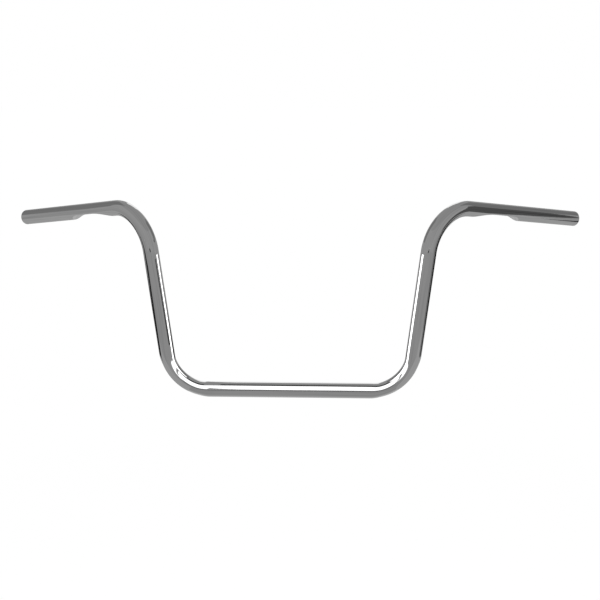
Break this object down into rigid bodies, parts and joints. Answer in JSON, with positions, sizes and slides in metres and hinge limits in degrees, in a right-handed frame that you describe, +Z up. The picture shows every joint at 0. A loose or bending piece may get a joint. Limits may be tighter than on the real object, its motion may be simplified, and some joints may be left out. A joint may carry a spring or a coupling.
{
  "type": "touring handlebar",
  "caption": "One-piece chromed steel tube handlebar: flat centre rail, tall leaning uprights, swept-back grips with pressed wiring dimples underneath.",
  "frame": {"origin": "middle of the centre rail, on the tube's axis, where the riser clamps hold it", "axes": "+X along the rail to the right-hand grip, +Y back towards the rider, +Z up the uprights"},
  "size_m": [0.9774, 0.2487, 0.3181],
  "materials": {
    "chrome": "polished"
  },
  "bodies": {
    "root": {"handlebar": "chrome"}
  },
  "joints": []
}
